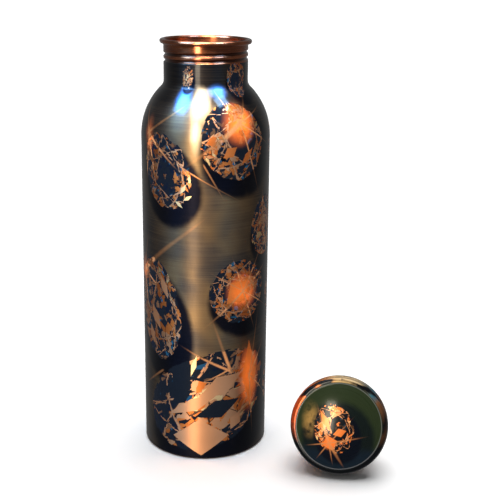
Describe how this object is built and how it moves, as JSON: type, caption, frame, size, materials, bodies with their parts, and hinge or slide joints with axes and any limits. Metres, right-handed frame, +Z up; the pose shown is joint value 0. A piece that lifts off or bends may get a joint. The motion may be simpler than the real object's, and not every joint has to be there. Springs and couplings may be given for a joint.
{
  "type": "copper water bottle",
  "caption": "Tall cylindrical copper water bottle with a rolled screw neck and curled lip, printed and lacquered outside, with a domed screw-in lid lying beside it.",
  "frame": {"origin": "centre of the bottle's foot, on the floor", "axes": "+Z up along the bottle's axis; -Y towards the viewer, where the open lid lies to the right at +X"},
  "size_m": [0.1487, 0.1006, 0.249],
  "materials": {
    "printed_copper": "copper sheet, brushed, printed all over with gem shapes and starbursts, clear glossy lacquer; bare copper above the print",
    "bare_copper": "bare spun copper, satin, with fine turning lines",
    "silicone": "translucent white silicone, matt"
  },
  "bodies": {
    "bottle": {"bottle_body": "printed_copper", "base_plate": "bare_copper"},
    "gasket": {"lid_gasket": "silicone"},
    "lid": {"lid_shell": "printed_copper", "lid_plug": "bare_copper"}
  },
  "joints": [
    {"name": "lid_carry", "type": "hinge", "parent": "bottle", "child": "gasket", "pos_m": [0.03069, 0.22086, 0.15875], "axis": [-0.9096, 0.3184, -0.2671], "range_deg": [0, 74.56]},
    {"name": "lid_turn", "type": "hinge", "parent": "gasket", "child": "lid", "pos_m": [0.08448, -0.02503, 0.02143], "axis": [-0.1286, -0.9391, 0.3186], "continuous": true}
  ]
}
